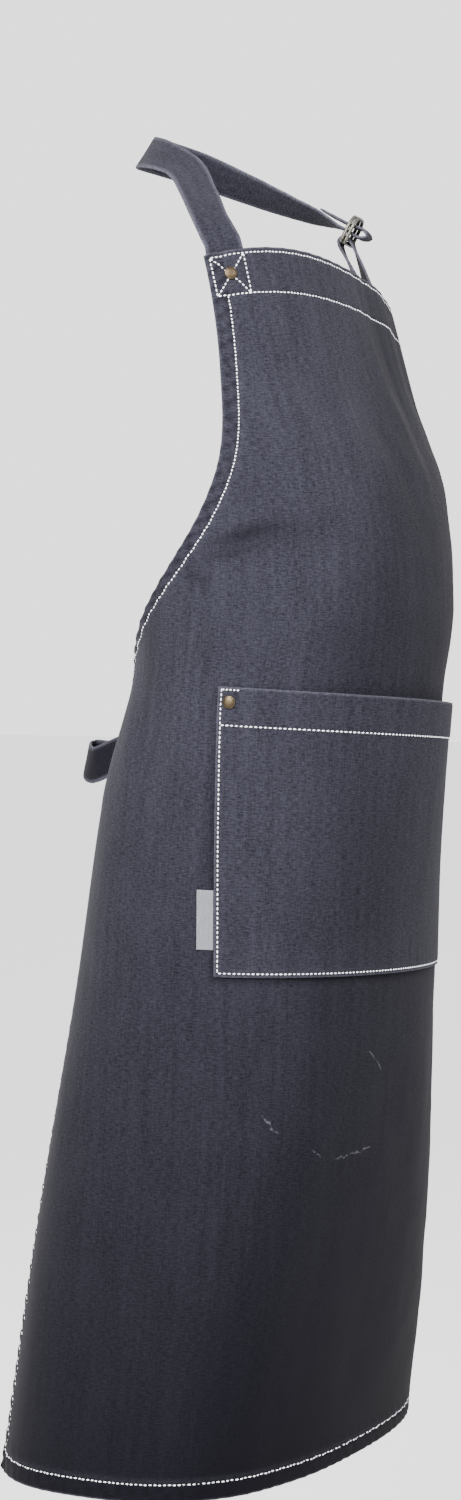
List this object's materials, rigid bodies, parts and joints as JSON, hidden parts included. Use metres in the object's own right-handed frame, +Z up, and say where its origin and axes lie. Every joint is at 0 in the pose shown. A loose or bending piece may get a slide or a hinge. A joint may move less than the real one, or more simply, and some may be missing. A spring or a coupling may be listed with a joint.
{
  "type": "bib apron in cotton",
  "caption": "Bib apron in washed cotton in its worn form, with a ring-adjusted neck strap, a waist tie and one wide front pocket.",
  "frame": {"origin": "inside face of the neck strap at the back of the neck, in the middle of its width", "axes": "+Z up, -Y the way the wearer faces, +X the wearer's left"},
  "size_m": [0.3385, 0.2783, 0.9199],
  "materials": {
    "cotton_cloth": "matte stonewashed plain weave",
    "cotton_strap": "matte stonewashed plain weave, doubled",
    "satin_label": "soft satin ribbon, bare",
    "ring_metal": "dull antique nickel",
    "rivet_metal": "antique brass"
  },
  "bodies": {
    "root": {"apron_panel": "cotton_cloth", "pocket": "cotton_cloth", "pocket_label": "satin_label", "neck_strap": "cotton_strap", "ring_strap": "cotton_strap", "ring_inner": "ring_metal", "ring_outer": "ring_metal", "waist_tie_right": "cotton_strap", "waist_tie_left": "cotton_strap", "tie_knot": "cotton_strap", "rivet_bib_right": "rivet_metal", "rivet_bib_left": "rivet_metal", "rivet_pocket_right": "rivet_metal", "rivet_pocket_left": "rivet_metal"}
  },
  "joints": []
}
